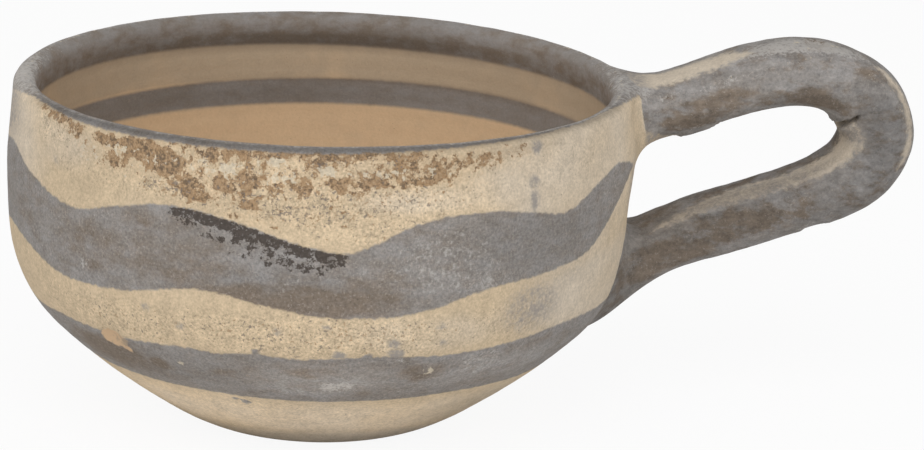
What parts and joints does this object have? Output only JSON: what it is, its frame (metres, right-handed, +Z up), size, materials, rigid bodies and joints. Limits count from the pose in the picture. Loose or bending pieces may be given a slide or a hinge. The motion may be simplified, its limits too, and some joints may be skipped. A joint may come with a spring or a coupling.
{
  "type": "one-handled bowl",
  "caption": "Round pottery bowl with a near-vertical upper wall, rounded lower wall, small flat base and one thick loop handle from rim to lower wall, with painted bands.",
  "frame": {"origin": "centre of the flat base, on the surface that the bowl stands on", "axes": "+Z up along the axis of the turned bowl, +X out along the handle"},
  "size_m": [0.1746, 0.12, 0.074],
  "materials": {
    "bowl_clay": "matte cream slip with dark grey-brown painted bands, worn",
    "handle_clay": "matte dark grey-brown paint over cream slip, worn",
    "upper_lute_clay": "matte cream slip, partly painted",
    "lower_lute_clay": "matte dark grey-brown paint, worn"
  },
  "bodies": {
    "root": {"bowl_body": "bowl_clay", "loop_handle": "handle_clay", "upper_handle_lute": "upper_lute_clay", "lower_handle_lute": "lower_lute_clay"}
  },
  "joints": []
}
